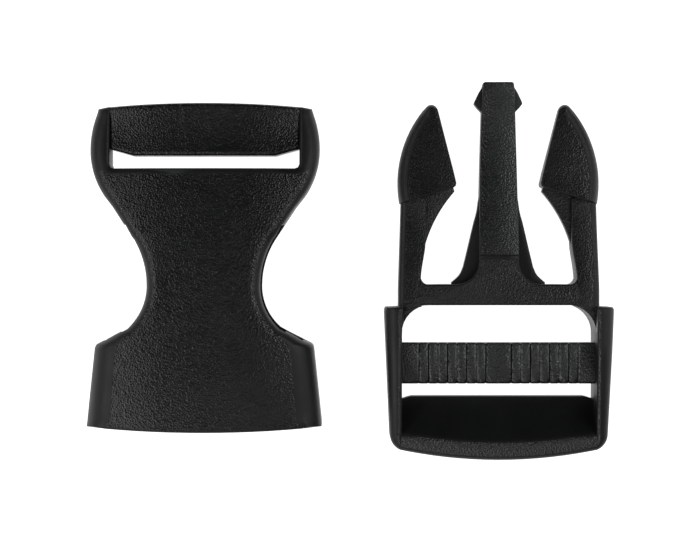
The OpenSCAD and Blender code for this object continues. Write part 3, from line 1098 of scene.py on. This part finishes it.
def addBarb(arm, name):
    s = barbSizes
    pairs = list(zip(arc(*s["side"], -10.3, 38, 22), widerArc(s["side"], -s["sideRoll"], -8.9, 38, 22)))
    pairs += zip(arc(*s["tip"], 42, 160, 6), arc(*s["tipFlat"], 42, 160, 6))
    pairs += zip(line(*s["inside"], 9), line(*s["insideFlat"], 9))
    pairs += s["heel"]
    rollX, rollY = s["catchRoll"]
    catch = line(*s["catch"], 6) + [s["catch"][1]]
    pairs += [((x, y), (x + rollX, y + rollY)) for x, y in catch]
    outer, inner = apart(pairs)
    depths = []
    for a, b in pairs:
        if gap(a, b) > s["broad"]:
            depths.append(min(s["sideDepth"] * gap(a, b), s["deepest"] * barbHalfHeight(b[1])))
        else:
            depths.append(s["edgeDepth"] * gap(a, b))
    fuse(arm, evenSlab(name, outer, inner, lambda x, y: middle + barbHalfHeight(y), depths, 6, fineSlot))


def buildArm(name, side):
    arm = buildBeam(name)
    addWeb(arm, name + "Web")
    addBarb(arm, name + "Barb")
    if side < 0:
        only(arm)
        arm.scale = (-1, 1, 1)
        bpy.ops.object.transform_apply(location=False, rotation=False, scale=True)
        faceOutwards()
    print(name, "shaped")
    return arm


# Everything in its place

low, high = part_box("socket")
socketPlace = ((low.x + high.x) / 2, low.y, 0)
low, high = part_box("plug_frame")
plugPlace = ((low.x + high.x) / 2, high.y - prongSizes["length"] * mm, 0)

socketShell = settle(buildSocket(), socketPlace)
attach(socketShell, "body")
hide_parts("socket")

plugFrame = settle(buildPlugFrame(), plugPlace)
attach(plugFrame, "body")
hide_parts("plug_frame")

for name, side, body in (("leftArm", -1, "left_arm"), ("rightArm", 1, "right_arm")):
    arm = settle(buildArm(name, side), plugPlace)
    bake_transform(arm)
    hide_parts(body)

# White table that glows like an overexposed sheet, and soft lamps round it, in metres

tableSizes = {"side": 6.0, "below": 0.00002, "white": 0.8, "roughness": 0.9, "glow": 1.0}

lamps = {
    "nearRight": {"azimuth": 0, "tilt": 20, "size": 0.22, "power": 0.08},
    "front": {"azimuth": 300, "tilt": 20, "size": 0.22, "power": 0.15},
    "backLeft": {"azimuth": 157, "tilt": 42, "size": 0.22, "power": 0.50},
    "left": {"azimuth": 202, "tilt": 42, "size": 0.22, "power": 0.70},
    "right": {"azimuth": 22, "tilt": 42, "size": 0.22, "power": 0.72},
    "frontLeft": {"azimuth": 247, "tilt": 42, "size": 0.22, "power": 0.46},
    "sideLeft": {"azimuth": 180, "tilt": 70, "size": 0.40, "power": 0.25},
    "sideRight": {"azimuth": 0, "tilt": 70, "size": 0.40, "power": 0.50},
    "sideFront": {"azimuth": 270, "tilt": 70, "size": 0.40, "power": 0.25},
}
lampReach = 0.6
roomGlow = 0.02

bpy.ops.object.select_all(action="DESELECT")
bpy.ops.mesh.primitive_plane_add(size=tableSizes["side"], location=(0, 0, -tableSizes["below"]))
table = bpy.context.object
table.name = "table"
paper = bpy.data.materials.new("palePaper")
paper.use_nodes = True
sheet = paper.node_tree.nodes["Principled BSDF"]
sheet.inputs["Base Color"].default_value = (*[tableSizes["white"]] * 3, 1)
sheet.inputs["Roughness"].default_value = tableSizes["roughness"]
sheet.inputs["Emission Color"].default_value = (1, 1, 1, 1)
sheet.inputs["Emission Strength"].default_value = tableSizes["glow"]
table.data.materials.append(paper)

for name, lamp in lamps.items():
    azimuth = math.radians(lamp["azimuth"])
    tilt = math.radians(lamp["tilt"])
    flat = math.sin(tilt)
    away = Vector((flat * math.cos(azimuth), flat * math.sin(azimuth), math.cos(tilt)))
    turn = away.to_track_quat("Z", "Y").to_euler()
    bpy.ops.object.light_add(type="AREA", location=away * lampReach, rotation=turn)
    light = bpy.context.object
    light.name = name + "Lamp"
    light.data.shape = "DISK"
    light.data.size = lamp["size"]
    light.data.energy = lamp["power"]

world = bpy.data.worlds.new("studio")
bpy.context.scene.world = world
world.use_nodes = True
world.node_tree.nodes["Background"].inputs["Color"].default_value = (1, 1, 1, 1)
world.node_tree.nodes["Background"].inputs["Strength"].default_value = roomGlow
bpy.context.scene.view_settings.view_transform = "Standard"
print("table and lamps set")
